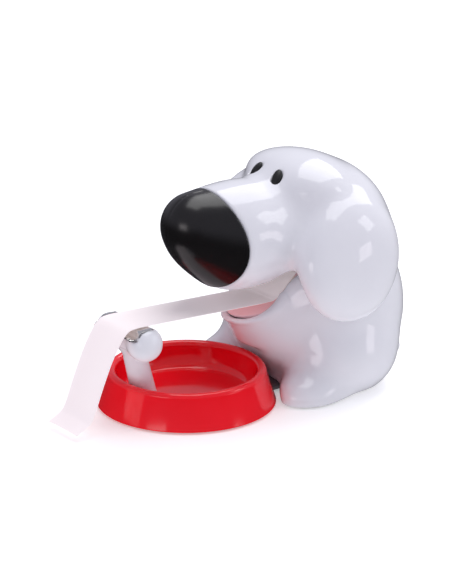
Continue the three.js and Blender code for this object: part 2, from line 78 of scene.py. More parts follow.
# ---------------------------------------------------------------- driving sizes, as in the CAD
WALL = 2.2
GAP = 0.3
SKIRT_Z = 0.8
PLATE_LOW = 0.8
PLATE_TOP = 2.8
INSIDE_LOW = PLATE_TOP + GAP
BOWL_R = 35.1
BOWL_RIM_R = 30.6
BOWL_H = 14.8
BOWL_FLOOR = 4.9
BOWL_MOAT = 1.8
BOWL_LEAN = (BOWL_R - BOWL_RIM_R) / BOWL_H
CORE_BORE_R = 12.7
AXLE_R = 3
BARREL_R = 2.4
HINGE_ROOM_R = 3.4               # cleared round the hinge in both shells
HINGE_ROOM_X = 12.6
SCREW_R = 1.2
SCREW_HEAD_R = 2.2
KNOB = (10.5, -27.0, 33.0)
KNOB_R = 6.6
STEM_SQUASH = 0.8                # the stem is wider than it is deep
BLADE_W = 25
NOSE_RIM_Y = 10.8
LIP_R = 1.25                     # radius of the bead round the lower lip
LIP_BACK_Y = 36
EAR_INNER_X = 24
EAR_BLEND = 13

HINGE_LUG_X = 9.8                # middle of each of the body's two hinge lugs
HINGE_LUG_HALF = 1.5
KNUCKLE_HALF = 7.7               # half the width of the head's hinge knuckle
SEAM_GAP = 0.7                   # room between the head and the body
BOSS_R = 3                       # screw bosses inside the body
BOSS_TOP = 13
RIB_TOP = 12
PILOT_TOP = 11.5
LINER_HALF = 0.8                 # half the thickness of the mouth's lining
NOTCH_LOW = (-13, 20, -1)        # where the base plate passes from the bowl to the body
NOTCH_HIGH = (13, 46, INSIDE_LOW)

PADS = [f"foot_pad_{i + 1}" for i in range(5)]
BODY_SCREWS = [(-18.6, 51), (18.6, 51), (-18.6, 69), (18.6, 69)]
RING_SCREW_R = 28.8
BOWL_SCREWS = [
    (RING_SCREW_R * math.cos(a), RING_SCREW_R * math.sin(a))
    for a in map(math.radians, (30, 150, 270))
]
BONE_SCREW = (0, KNOB[1] + 7)

FINE = 0.6   # cell of the large sculpted surfaces
SMALL = 0.4  # cell of the small ones


# ================================================================ distance functions
def length(p):
    return np.sqrt((p * p).sum(axis=1))


def smooth_min(a, b, k):
    h = np.maximum(k - np.abs(a - b), 0) / k
    return np.minimum(a, b) - h * h * k / 4


def smooth_max(a, b, k):
    return -smooth_min(-a, -b, k)


def mirrored(p):
    q = p.copy()
    q[:, 0] = np.abs(q[:, 0])
    return q


def ball(p, centre, radius):
    return length(p - np.array(centre)) - radius


def ellipsoid(p, centre, radii, tilt=0.0):
    """tilt turns the ellipsoid about Y, in degrees."""
    t = math.radians(tilt)
    d = p - np.array(centre)
    q = np.stack([
        d[:, 0] * math.cos(t) - d[:, 2] * math.sin(t),
        d[:, 1],
        d[:, 0] * math.sin(t) + d[:, 2] * math.cos(t),
    ], axis=1)
    r = np.array(radii, float)
    k0 = length(q / r)
    k1 = length(q / (r * r)) + 1e-9
    return k0 * (k0 - 1) / k1


def round_cone(p, start, end, start_r, end_r):
    """The hull of two spheres."""
    start = np.array(start, float)
    axis = np.array(end, float) - start
    length2 = axis @ axis
    taper = start_r - end_r
    a2 = length2 - taper * taper
    d = p - start
    along = d @ axis
    beyond = along - length2
    across2 = ((d * length2 - along[:, None] * axis) ** 2).sum(axis=1)
    along2 = along * along * length2
    beyond2 = beyond * beyond * length2
    k = np.sign(taper) * taper * taper * across2
    side = (np.sqrt(across2 * a2 / length2) + along * taper) / length2 - start_r
    first = np.sqrt(across2 + along2) / length2 - start_r
    last = np.sqrt(across2 + beyond2) / length2 - end_r
    out = np.where(np.sign(along) * a2 * along2 < k, first, side)
    return np.where(np.sign(beyond) * a2 * beyond2 > k, last, out)


def near_line(p, line):
    """Distance, in the YZ plane, from a broken line of (y, z) points."""
    nearest = np.full(len(p), 1e9)
    for a, b in zip(line[:-1], line[1:]):
        a, b = np.array(a, float), np.array(b, float)
        along = b - a
        t = np.clip((p[:, 1:] - a) @ along / (along @ along), 0, 1)
        nearest = np.minimum(nearest, length(p[:, 1:] - a - t[:, None] * along))
    return nearest


def post(p, place, low, high, radius):
    """An upright rod."""
    across = np.hypot(p[:, 0] - place[0], p[:, 1] - place[1]) - radius
    return np.maximum(across, np.maximum(low - p[:, 2], p[:, 2] - high))


def block(p, low, high):
    low, high = np.array(low, float), np.array(high, float)
    return (np.abs(p - (low + high) / 2) - (high - low) / 2).max(axis=1)


def hinge_cleared(p, solid):
    room = np.hypot(p[:, 1] - HINGE_Y, p[:, 2] - HINGE_Z) - HINGE_ROOM_R
    return smooth_max(solid, -np.maximum(room, np.abs(p[:, 0]) - HINGE_ROOM_X), 0.8)


def pin_drilled(p, solid):
    bore = PIN_R + GAP - np.hypot(p[:, 1] - HINGE_Y, p[:, 2] - HINGE_Z)
    return smooth_max(solid, bore, 0.3)


def snout(p):
    tip = round_cone(p, (0, 3, 72.3), (0, 21.7, 63.7), 11.8, 19.9)
    muzzle = round_cone(p, (0, 21.7, 63.7), (0, 34.3, 63.5), 19.9, 20.8)
    return smooth_min(smooth_min(tip, ball(p, (0, 9, 67), 14.8), 6), muzzle, 6)


def skull(p):
    dome = ellipsoid(p, (0, 61.9, 62), (35, 26.4, 26))
    brow = ellipsoid(p, (0, 52.2, 81.9), (23.8, 13.5, 9.1))
    return smooth_min(smooth_min(snout(p), dome, 7.9), brow, 8.5)


def ear(p):
    return ellipsoid(mirrored(p), (32, 54, 53.1), (10.6, 21.7, 21.1), -10)


def torso(p):
    q = mirrored(p)
    belly = ellipsoid(p, (0, 64, 29.6), (36.5, 32, 38))
    thigh = ellipsoid(q, (20, 60.5, 15), (20.4, 22.8, 18.8))
    sole = ellipsoid(q, (9, 60, -2), (18, 25, 12))
    chest = round_cone(p, (0, 28.2, 35.3), (0, 44.5, 26.5), 9.5, 19.2)
    jaw = ellipsoid(p, (0, 25.4, 40), (13.4, 17.4, 8.3))
    foot = ellipsoid(q, (26, 41, 2.5), (11.5, 14.5, 9))
    trunk = smooth_min(smooth_min(belly, thigh, 5), sole, 6)
    return smooth_min(smooth_min(trunk, smooth_min(chest, jaw, 7), 6.7), foot, 8)


def tail(p):
    return round_cone(p, (0, 84, 8), (9, 94.6, 5.2), 6, 3.4)


LIP = np.array([
    (-20, 31.5), (16, 30.6), (21.5, 30.2), (25, 31.2), (29, 33.6), (33, 37),
    (38, 44), (42, 49), (47, 52.4), (54, 54), (120, 54),
])
ROOF = np.array([
    (-30, 20), (16, 30), (21, 40), (27, 42.6), (33.5, 46), (37, 51.8),
    (41, 57.6), (48, 57), (56, 54.8), (120, 54.8),
])
HEAD_LUG = [(HINGE_Y - 0.7, HINGE_Z + 5.6), (HINGE_Y, HINGE_Z)]
BODY_LUG = [(HINGE_Y + 4.5, HINGE_Z - 6.4), (HINGE_Y, HINGE_Z)]
LINER = [(17, 30.4), (26, 31.6), (34, 33.2), (38, 34.8), (42, 38.8)]
CHEEK = [(38, 34.8), (42, 38.8), (43.6, 44), (45.5, 48)]
CHEEK_INNER_X = 11.5


def softened(line, reach=2.0):
    """The height of a broken line over Y, with its corners rounded, as a function."""
    grid = np.arange(-40, 121, 0.25)
    raw = np.interp(grid, line[:, 0], line[:, 1])
    kernel = np.exp(-0.5 * (np.arange(-24, 25) * 0.25 / reach) ** 2)
    padded = np.pad(raw, 24, mode="edge")
    smooth = np.convolve(padded, kernel / kernel.sum(), mode="valid")
    steep = np.sqrt(1 + np.gradient(smooth, 0.25) ** 2)

    def signed(p):
        """Distance above the line, in the YZ plane."""
        height = np.interp(p[:, 1], grid, smooth)
        return (p[:, 2] - height) / np.interp(p[:, 1], grid, steep)

    return signed


above_lip = softened(LIP)
above_roof = softened(ROOF)


def nose_sheet(p):
    """Positive behind the curved sheet where the black cap ends."""
    return p[:, 1] - NOSE_RIM_Y - p[:, 0] ** 2 / 80


def moat(p):
    """Positive inside the space that the body leaves round the bowl."""
    r = np.hypot(p[:, 0], p[:, 1])
    wall = (BOWL_R + BOWL_MOAT - r - BOWL_LEAN * p[:, 2]) / math.hypot(1, BOWL_LEAN)
    return smooth_min(wall, BOWL_H + 2.4 - p[:, 2], 3)


# ---------------------------------------------------------------- eyes
EYE_AT = np.array([(eye_low[0] + eye_high[0]) / 2, *((eye_low + eye_high) / 2)[1:]])
EYE_RADII = (1.95, 1.2, 3.5)      # across, outwards and along
EYE_LEAN = math.radians(38)      # how far the brow leans back
EYE_YAW = math.radians(23)       # how far each eye looks sideways


def eye_axes(side):
    """Across, outwards and along, as the rows of a matrix."""
    outward = np.array([
        side * math.sin(EYE_YAW) * math.cos(EYE_LEAN),
        -math.cos(EYE_YAW) * math.cos(EYE_LEAN),
        math.sin(EYE_LEAN),
    ])
    across = np.array([math.cos(EYE_YAW), side * math.sin(EYE_YAW), 0])
    return np.array([across, outward, np.cross(outward, across) * -1])


def eye_ball(p, side, growth=0.0):
    centre = EYE_AT * (side, 1, 1)
    q = (p - centre) @ eye_axes(side).T
    return ellipsoid(q, (0, 0, 0), np.array(EYE_RADII) + growth)


# ---------------------------------------------------------------- shells
def body_form(p):
    trunk = torso(p)
    outer = smooth_max(trunk, moat(p), 2.5)
    shell = smooth_max(np.abs(outer + WALL / 2) - WALL / 2, above_lip(p), 1.6)
    shell = smooth_min(shell, np.maximum(tail(p), -outer - 1), 2)
    for place in BODY_SCREWS:
        inner_x, outer_x = sorted((place[0], place[0] * 2))
        rib = block(p, (inner_x, place[1] - 1, INSIDE_LOW), (outer_x, place[1] + 1, RIB_TOP))
        boss = np.minimum(post(p, place, INSIDE_LOW, BOSS_TOP, BOSS_R), rib)
        boss = np.maximum(boss, trunk + WALL / 2)
        shell = smooth_min(shell, boss, 1)
        shell = np.maximum(shell, -post(p, place, 0, PILOT_TOP, SCREW_R + GAP))
    shell = smooth_max(shell, SKIRT_Z - p[:, 2], 0.8)
    shell = np.maximum(shell, -block(p, NOTCH_LOW, NOTCH_HIGH))
    rim = np.hypot(outer + LIP_R, above_lip(p) + LIP_R) - LIP_R
    shell = smooth_min(shell, np.maximum(rim, p[:, 1] - LIP_BACK_Y), 0.8)
    beside = np.abs(np.abs(p[:, 0]) - HINGE_LUG_X) - HINGE_LUG_HALF
    lug = np.maximum(near_line(p, BODY_LUG) - BARREL_R, beside)
    return pin_drilled(p, smooth_min(hinge_cleared(p, shell), lug, 1.0))


def head_form(p):
    brain = skull(p)
    sheet = nose_sheet(p)
    outer = smooth_max(smooth_min(brain, ear(p), EAR_BLEND), -sheet, 1.2)
    solid = smooth_max(outer, -np.maximum(brain + WALL, WALL - sheet), 1.0)
    roof = np.maximum(above_roof(p), np.abs(p[:, 0]) - EAR_INNER_X)
    solid = smooth_max(solid, -roof, 2)
    solid = smooth_max(solid, SEAM_GAP - torso(p), 1.0)
    for side in (-1, 1):
        solid = smooth_max(solid, -eye_ball(p, side, 0.3), 0.5)
    knuckle = np.maximum(near_line(p, HEAD_LUG) - BARREL_R, np.abs(p[:, 0]) - KNUCKLE_HALF)
    return pin_drilled(p, smooth_min(hinge_cleared(p, solid), knuckle, 1.2))


def nose_form(p):
    seam = 0.22 * np.exp(-(p[:, 0] / 0.32) ** 2)
    outer = smooth_max(snout(p) + seam, nose_sheet(p) + GAP, 1.0)
    return np.maximum(outer, -(snout(p) + WALL))


def liner_form(p):
    band = near_line(p, LINER) - LINER_HALF
    cheeks = np.maximum(near_line(p, CHEEK) - LINER_HALF, CHEEK_INNER_X - np.abs(p[:, 0]))
    return smooth_max(smooth_min(band, cheeks, 0.8), torso(p) + 2 * LIP_R + 0.05, 0.3)


def bone_form(p):
    q = mirrored(p)
    x, y, z = KNOB
    knob = ball(q, KNOB, KNOB_R)
    bar = round_cone(q, (0, y + 0.5, z - 1.5), KNOB, 4.5, 5)
    stem = round_cone(p * (STEM_SQUASH, 1, 1), (0, y + 1.5, z - 3), (0, y + 7.4, 6), 4.1, 4.7)
    solid = smooth_min(smooth_min(knob, bar, 3), stem, 3)
    seat = block(p, (-12.7, -31.4, 30), (12.7, -23, 38.3))
    solid = smooth_min(solid, seat, 0.8)
    solid = smooth_max(solid, -block(p, (-13, -50, 38.4), (13, 0, 60)), 0.4)
    solid = smooth_max(solid, -block(p, (-13, -50, 37), (13, -30.1, 60)), 0.4)
    solid = smooth_max(solid, -block(p, (-13, -50, 35.4), (13, -31.6, 60)), 0.4)
    solid = smooth_max(solid, BOWL_FLOOR + GAP - p[:, 2], 0.6)
    return np.maximum(solid, -post(p, BONE_SCREW, 0, 12, SCREW_R + GAP))


def plate_form(p):
    under_body = np.maximum(torso(p) + WALL + SEAM_GAP, -np.hypot(p[:, 0], p[:, 1]) + BOWL_R + 4.3)
    under_bowl = np.hypot(p[:, 0], p[:, 1]) - 31.5
    bridge = block(p, (-12, 20, -20), (12, 46, 20))
    outline = np.minimum(np.minimum(under_body, under_bowl), bridge)
    solid = smooth_max(outline, np.abs(p[:, 2] - (PLATE_LOW + PLATE_TOP) / 2) - 1, 0.5)
    for place in BODY_SCREWS + BOWL_SCREWS + [BONE_SCREW]:
        solid = np.maximum(solid, -post(p, place, 0, 5, SCREW_R + GAP))
        solid = np.maximum(solid, -post(p, place, 0, 1.9, SCREW_HEAD_R + GAP))
    for pad in PADS:
        low, high = design_box(pad)
        solid = np.maximum(solid, -post(p, (low + high) / 2, 0, 1.6, (high[0] - low[0]) / 2 + GAP))
    return solid


# ================================================================ meshes from distance functions
CORNERS = np.array([[i & 1, (i >> 1) & 1, (i >> 2) & 1] for i in range(8)])
EDGES = [
    (0, 1), (2, 3), (4, 5), (6, 7), (0, 2), (1, 3),
    (4, 6), (5, 7), (0, 4), (1, 5), (2, 6), (3, 7),
]


def slope(f, p, e=0.01):
    columns = []
    for axis in range(3):
        step = np.zeros(3)
        step[axis] = e
        columns.append((f(p + step) - f(p - step)) / (2 * e))
    return np.stack(columns, axis=1)


def field(f, low, high, cell, block=6):
    """f on a grid, worked out in full only in the blocks that may hold the surface."""
    low = np.array(low, float)
    blocks = np.ceil((np.array(high, float) - low) / (cell * block)).astype(int)
    index = np.stack(np.meshgrid(*[np.arange(n) for n in blocks], indexing="ij"), axis=-1).reshape(-1, 3)
    middle = low + (index + 0.5) * cell * block
    coarse = f(middle)
    near = np.abs(coarse) < cell * block * 1.6 + 1.5
    values = np.empty(blocks * block + 1)
    values[:-1, :-1, :-1] = (
        coarse.reshape(blocks).repeat(block, 0).repeat(block, 1).repeat(block, 2))
    for axis in range(3):
        last = [slice(None)] * 3
        before = [slice(None)] * 3
        last[axis] = -1
        before[axis] = -2
        values[tuple(last)] = values[tuple(before)]
    wanted = np.zeros(values.shape, bool)
    for i, j, k in index[near] * block:
        wanted[i:i + block + 1, j:j + block + 1, k:k + block + 1] = True
    places = np.argwhere(wanted)
    values[wanted] = f(low + places * cell)
    return values


def net(f, low, high, cell):
    """Surface nets: vertices (mm) and quads of the zero surface of f."""
    values = field(f, low, high, cell)
    inside = values < 0
    count = np.array(values.shape)
    total = np.zeros(tuple(count - 1), int)
    for a, b, c in CORNERS:
        total += inside[a:count[0] - 1 + a, b:count[1] - 1 + b, c:count[2] - 1 + c]
    cells = np.argwhere((total > 0) & (total < 8))
    number = -np.ones(total.shape, int)
    number[tuple(cells.T)] = np.arange(len(cells))
    corner = np.stack([values[tuple((cells + c).T)] for c in CORNERS], axis=1)
    place = np.zeros((len(cells), 3))
    hits = np.zeros(len(cells))
    for a, b in EDGES:
        va, vb = corner[:, a], corner[:, b]
        crossed = (va < 0) != (vb < 0)
        t = np.where(crossed, va / np.where(crossed, va - vb, 1), 0)
        point = CORNERS[a] + t[:, None] * (CORNERS[b] - CORNERS[a])
        place += point * crossed[:, None]
        hits += crossed
    vertices = np.array(low, float) + (cells + place / hits[:, None]) * cell
    for _ in range(3):
        g = slope(f, vertices)
        step = f(vertices) / ((g * g).sum(axis=1) + 1e-6)
        vertices -= np.clip(step, -cell / 2, cell / 2)[:, None] * g
    quads = []
    for axis in range(3):
        u, v = (axis + 1) % 3, (axis + 2) % 3
        first = [slice(1, -1)] * 3
        second = [slice(1, -1)] * 3
        first[axis] = slice(0, -1)
        second[axis] = slice(1, None)
        here = inside[tuple(first)]
        there = inside[tuple(second)]
        offset = np.array([1, 1, 1])
        offset[axis] = 0
        for flip, chosen in ((False, here & ~there), (True, ~here & there)):
            spots = np.argwhere(chosen) + offset
            du = np.zeros(3, int)
            dv = np.zeros(3, int)
            du[u] = 1
            dv[v] = 1
            ring = [spots - du - dv, spots - dv, spots, spots - du]
            quad = np.stack([number[tuple(r.T)] for r in ring], axis=1)
            quads.append(quad[:, ::-1] if flip else quad)
    return vertices, np.concatenate(quads)


def to_row(points):
    return np.asarray(points, float) * MM + np.array(SHIFT)


def mesh_piece(name, vertices, faces, material, smooth=True):
    mesh = bpy.data.meshes.new(name)
    mesh.from_pydata(to_row(vertices).tolist(), [], [list(map(int, face)) for face in faces])
    mesh.materials.append(material)
    mesh.polygons.foreach_set("use_smooth", [smooth] * len(mesh.polygons))
    mesh.update()
    piece = bpy.data.objects.new(name, mesh)
    bpy.context.scene.collection.objects.link(piece)
    return piece


def sculpted(name, f, low, high, cell, material):
    vertices, quads = net(f, low, high, cell)
    return mesh_piece(name, vertices, quads, material)


def by_angle(piece, degrees=32):
    """Smooth shading that keeps edges sharper than an angle crisp."""
    piece.data.polygons.foreach_set("use_smooth", [True] * len(piece.data.polygons))
    piece.data.set_sharp_from_angle(angle=math.radians(degrees))
    return piece


def tidied(piece):
    """Welds a mesh's double vertices and turns its faces outwards."""
    mesh = bmesh.new()
    mesh.from_mesh(piece.data)
    bmesh.ops.remove_doubles(mesh, verts=mesh.verts, dist=1e-7)
    bmesh.ops.recalc_face_normals(mesh, faces=mesh.faces)
    mesh.to_mesh(piece.data)
    mesh.free()
    return by_angle(piece)


def applied(piece):
    """Turns a piece's modifiers into its mesh."""
    bpy.context.view_layer.update()
    result = piece.evaluated_get(bpy.context.evaluated_depsgraph_get())
    piece.data = bpy.data.meshes.new_from_object(result)
    piece.modifiers.clear()
    return piece


def combined(piece, operation, *tools):
    for tool in tools:
        modifier = piece.modifiers.new("combine", "BOOLEAN")
        modifier.operation = operation
        modifier.solver = "EXACT"
        modifier.object = tool
    applied(piece)
    for tool in tools:
        bpy.data.objects.remove(tool)
    return tidied(piece)


def bevelled(piece, width, steps=3):
    modifier = piece.modifiers.new("bevel", "BEVEL")
    modifier.width = width * MM
    modifier.segments = steps
    modifier.limit_method = "ANGLE"
    modifier.angle_limit = math.radians(40)
    return by_angle(applied(piece))


# ================================================================ plain shapes
def rounded(corners, radius, steps=4):
    """A closed outline with each corner turned into a small curve. A corner's own radius may
    follow its two numbers, and 0 keeps it sharp."""
    outline = []
    for i, corner in enumerate(corners):
        here = np.array(corner[:2], float)
        before = np.array(corners[i - 1][:2]) - here
        after = np.array(corners[(i + 1) % len(corners)][:2]) - here
        own = corner[2] if len(corner) > 2 else radius
        reach = min(own, 0.45 * length(before[None])[0], 0.45 * length(after[None])[0])
        if reach < 1e-3:
            outline.append(tuple(here))
            continue
        start = here + before / length(before[None]) * reach
        end = here + after / length(after[None]) * reach
        for t in np.linspace(0, 1, steps + 1):
            point = (1 - t) ** 2 * start + 2 * t * (1 - t) * here + t * t * end
            outline.append(tuple(point))
    return outline


def turned(name, profile, material, centre=(0, 0, 0), along="z", flip=1, sides=96):
    """A closed profile of (radius, height) points turned about an axis through centre."""
    angles = np.linspace(0, 2 * math.pi, sides, endpoint=False)
    radius, height = np.array(profile, float).T
    across = np.outer(np.cos(angles), radius)
    upward = np.outer(np.sin(angles), radius)
    level = np.broadcast_to(height * flip, across.shape)
    order = (across, upward, level) if along == "z" else (level, across, upward)
    vertices = np.stack(order, axis=-1).reshape(-1, 3) + np.array(centre)
    n = len(profile)
    faces = []
    for i in range(sides):
        a, b = i * n, (i + 1) % sides * n
        for j in range(n):
            k = (j + 1) % n
            faces.append((a + j, b + j, b + k, a + k))
    return tidied(mesh_piece(name, vertices, faces, material))


def extruded(name, outline, left, right, material, bevel=0.0):
    """A closed outline of (y, z) points drawn out along X, with its end edges rounded."""
    n = len(outline)
    vertices = [(x, y, z) for x in (left, right) for y, z in outline]
    faces = [tuple(range(n)), tuple(range(2 * n - 1, n - 1, -1))]
    faces += [(i, (i + 1) % n, n + (i + 1) % n, n + i) for i in range(n)]
    piece = tidied(mesh_piece(name, vertices, faces, material))
    return bevelled(piece, bevel) if bevel else piece


def box_outline(low, high):
    """The (y, z) corners of a box."""
    return [(low[1], low[2]), (high[1], low[2]), (high[1], high[2]), (low[1], high[2])]


def box_piece(name, low, high, material, bevel=0.0):
    return extruded(name, box_outline(low, high), low[0], high[0], material, bevel)


def smooth_path(points, steps):
    """A Catmull-Rom curve through (y, z) points, with a number of steps for each stretch."""
    knots = np.array([points[0], *points, points[-1]], float)
    path = []
    for a, b, c, d in zip(knots[:-3], knots[1:-2], knots[2:-1], knots[3:]):
        for t in np.arange(steps) / steps:
            path.append(0.5 * (2 * b + (c - a) * t + (2 * a - 5 * b + 4 * c - d) * t * t
                               + (3 * b - a - 3 * c + d) * t ** 3))
    return np.array([*path, knots[-1]])


def ribbon(name, path, xs, thickness, material, bow=None):
    """A thin closed strip: a path of (y, z) points drawn out across xs. bow(i, x) gives how far
    the strip stands off its path."""
    path = np.array(path, float)
    along = np.gradient(path, axis=0)
    normal = np.stack([-along[:, 1], along[:, 0]], axis=1) / length(along)[:, None]
    sheets = []
    for side in (1, -1):
        for i, (point, out) in enumerate(zip(path, normal)):
            for x in xs:
                offset = side * thickness / 2 + (bow(i / (len(path) - 1), x) if bow else 0)
                sheets.append((x, *(point + out * offset)))
    n, m = len(path), len(xs)
    top = [(i * m + j, i * m + j + 1, (i + 1) * m + j + 1, (i + 1) * m + j)
           for i in range(n - 1) for j in range(m - 1)]
    bottom = [tuple(n * m + k for k in reversed(face)) for face in top]
    edge = [j for j in range(m)] + [i * m + m - 1 for i in range(1, n)]
    edge += [(n - 1) * m + j for j in range(m - 2, -1, -1)] + [i * m for i in range(n - 2, 0, -1)]
    rim = [(a, b, n * m + b, n * m + a) for a, b in zip(edge, edge[1:] + edge[:1])]
    return tidied(mesh_piece(name, sheets, top + bottom + rim, material))


# ================================================================ materials
def finish(name, dark, light, gloss, grain, relief, stretch=(1, 1, 1), rings=None, **sockets):
    """A procedural finish. Colour runs from dark to light and roughness over gloss with broad
    noise; fine noise of one grain size raises the surface by relief. Sizes are millimetres.
    rings is a centre and a spacing: the surface then also carries rings about X."""
    material = bpy.data.materials.new(name)
    material.use_nodes = True
    nodes, links = material.node_tree.nodes, material.node_tree.links
    shader = nodes["Principled BSDF"]
    for socket, value in sockets.items():
        shader.inputs[socket.replace("_", " ")].default_value = value

    place = nodes.new("ShaderNodeTexCoord")
    mapping = nodes.new("ShaderNodeMapping")
    mapping.inputs["Scale"].default_value = [1 / (grain * MM * s) for s in stretch]
    links.new(place.outputs["Object"], mapping.inputs["Vector"])
    fine = nodes.new("ShaderNodeTexNoise")
    fine.inputs["Scale"].default_value = 1
    fine.inputs["Detail"].default_value = 3
    broad = nodes.new("ShaderNodeTexNoise")
    broad.inputs["Scale"].default_value = 1 / 9
    broad.inputs["Detail"].default_value = 4
    for noise in (fine, broad):
        links.new(mapping.outputs["Vector"], noise.inputs["Vector"])
    tone, surface = broad.outputs["Fac"], fine.outputs["Fac"]

    if rings:
        centre, spacing = rings
        shifted = nodes.new("ShaderNodeMapping")
        shifted.inputs["Location"].default_value = [-value for value in to_row(centre)]
        wave = nodes.new("ShaderNodeTexWave")
        wave.wave_type = "RINGS"
        wave.rings_direction = "X"
        wave.inputs["Scale"].default_value = 1 / (spacing * MM) / 20
        wave.inputs["Distortion"].default_value = 0.6
        links.new(place.outputs["Object"], shifted.inputs["Vector"])
        links.new(shifted.outputs["Vector"], wave.inputs["Vector"])
        tone, surface = wave.outputs["Fac"], wave.outputs["Fac"]

    ramp = nodes.new("ShaderNodeValToRGB")
    ramp.color_ramp.elements[0].position = 0.3
    ramp.color_ramp.elements[0].color = (*dark, 1)
    ramp.color_ramp.elements[1].position = 0.7
    ramp.color_ramp.elements[1].color = (*light, 1)
    links.new(tone, ramp.inputs["Fac"])
    links.new(ramp.outputs["Color"], shader.inputs["Base Color"])
    spread = nodes.new("ShaderNodeMapRange")
    spread.inputs["From Min"].default_value = 0.3
    spread.inputs["From Max"].default_value = 0.7
    spread.inputs["To Min"].default_value = gloss[0]
    spread.inputs["To Max"].default_value = gloss[1]
    links.new(broad.outputs["Fac"], spread.inputs["Value"])
    links.new(spread.outputs["Result"], shader.inputs["Roughness"])
    bump = nodes.new("ShaderNodeBump")
    bump.inputs["Strength"].default_value = 1
    bump.inputs["Distance"].default_value = relief * MM
    links.new(surface, bump.inputs["Height"])
    links.new(bump.outputs["Normal"], shader.inputs["Normal"])
    return material


ROLL_CENTRE = (0, ROLL_Y, ROLL_Z)
white = finish("gloss_white", (0.80, 0.80, 0.845), (0.83, 0.83, 0.872), (0.05, 0.09), 2.2, 0.004)
black = finish("gloss_black", (0.004, 0.0035, 0.0035), (0.008, 0.0065, 0.0065), (0.2, 0.27), 2.0, 0.004)
eye_black = finish("eye_black", (0.003, 0.003, 0.003), (0.005, 0.005, 0.005), (0.4, 0.5), 1.0, 0.002)
red = finish("gloss_red", (0.88, 0.004, 0.012), (0.93, 0.005, 0.016), (0.08, 0.14), 2.2, 0.006)
rose = finish("rose_lining", (0.85, 0.55, 0.58), (0.90, 0.60, 0.63), (0.35, 0.5), 1.2, 0.02)
grey = finish("moulded_grey", (0.10, 0.105, 0.115), (0.13, 0.135, 0.145), (0.45, 0.65), 0.35, 0.03)
blade_steel = finish("blade_steel", (0.62, 0.60, 0.57), (0.78, 0.77, 0.75), (0.08, 0.2), 0.12,
                     0.002, stretch=(14, 1, 1), Metallic=1.0)
zinc = finish("zinc_plate", (0.5, 0.5, 0.52), (0.68, 0.68, 0.7), (0.22, 0.38), 0.3, 0.006, Metallic=1.0)
iron = finish("cast_iron", (0.035, 0.034, 0.036), (0.09, 0.087, 0.085), (0.55, 0.8), 0.7, 0.12,
              Metallic=0.6)
rubber = finish("pad_rubber", (0.018, 0.018, 0.02), (0.035, 0.035, 0.037), (0.7, 0.9), 0.3, 0.03)
card = finish("core_card", (0.36, 0.25, 0.15), (0.5, 0.37, 0.24), (0.8, 0.95), 0.35, 0.03,
              stretch=(1, 5, 5))
# the film's small glow stands for the light that passes through it
film = finish("tape_film", (0.93, 0.85, 0.85), (0.97, 0.90, 0.90), (0.4, 0.5), 1.5, 0.004,
              stretch=(0.3, 6, 6), Emission_Color=(1.0, 0.86, 0.87, 1), Emission_Strength=0.22)
wound = finish("wound_tape", (0.60, 0.50, 0.38), (0.82, 0.76, 0.68), (0.25, 0.4), 1.5, 0.03,
               rings=(ROLL_CENTRE, 0.55))


def dress(piece, body, slot, *nodes):
    """The piece rides on a body and stands for CAD nodes, which it hides. slot is not used."""
    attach(piece, body)
    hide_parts(*nodes)
    return piece


# ================================================================ sculpted pieces
dress(sculpted("body_skin", body_form, (-44, 4, -2), (44, 102, 60), FINE, white),
      "body", "white_shell", "body_shell")
dress(sculpted("head_skin", head_form, (-48, -4, 24), (48, 97, 96), FINE, white),
      "head", "white_shell", "head_shell")
dress(sculpted("nose_skin", nose_form, (-24, -14, 40), (24, 22, 90), SMALL, black),
      "head", "black_trim", "nose_cap")
dress(sculpted("liner_skin", liner_form, (-36, 12, 26), (36, 50, 52), SMALL, rose),
      "body", "mouth_lining", "mouth_liner")
dress(sculpted("bone_skin", bone_form, (-19, -36, 2), (19, -8, 42), SMALL, white),
      "body", "white_shell", "bone_stand")
dress(sculpted("plate_skin", plate_form, (-42, -34, -1), (42, 98, 4), FINE, grey),
      "body", "base_plastic", "base_plate")


# ================================================================ eyes
def eye_piece(name, side):
    """A domed oval button with a thin flat brim."""
    profile = [(0, 1), (0.35, 0.93), (0.66, 0.72), (0.88, 0.4), (0.97, 0.12), (1, -0.1),
               (0.94, -0.5), (0.6, -0.8), (0, -0.9)]
    dome = smooth_path(profile, 4)
    button = turned(name, [(abs(r), h) for r, h in dome], eye_black, sides=64)
    axes = eye_axes(side)
    across, outward, along = EYE_RADII
    for vertex in button.data.vertices:
        x, z, y = (np.array(vertex.co) - np.array(SHIFT)) / MM
        local = np.array([x * across, y * outward, z * along])
        vertex.co = to_row(local @ axes + EYE_AT * (side, 1, 1))
    return tidied(button)


dress(eye_piece("eye_button_left", 1), "head", "black_trim", "eye_left")
dress(eye_piece("eye_button_right", -1), "head", "black_trim", "eye_right")


# ================================================================ bowl
def bowl_piece():
    turn = np.radians(np.linspace(-8, 188, 22))
    rim_r = 1.95
    rim = [(29.15 + rim_r * math.cos(a), BOWL_H - rim_r + rim_r * math.sin(a), 0) for a in turn]
    foot_r = BOWL_R - BOWL_LEAN * SKIRT_Z
    corners = [
        (0, INSIDE_LOW, 0),
        (27.6, INSIDE_LOW, 0.6),
        (28.6, 8, 0.6),
        (BOWL_R - BOWL_LEAN * 8 - WALL, 8, 0.6),
        (foot_r - WALL, SKIRT_Z, 0.3),
        (foot_r, SKIRT_Z, 0.5),
        *rim,
        (25.4, BOWL_FLOOR + 1.5, 1.6),
        (23.8, BOWL_FLOOR, 1.6),
        (0, BOWL_FLOOR, 0),
    ]
    dish = turned("bowl_skin", rounded(corners, 0.5, 6), red, sides=160)
    notch = box_piece("notch", NOTCH_LOW, NOTCH_HIGH, red)
    return combined(dish, "DIFFERENCE", notch)


dress(bowl_piece(), "body", "red_bowl", "bowl")


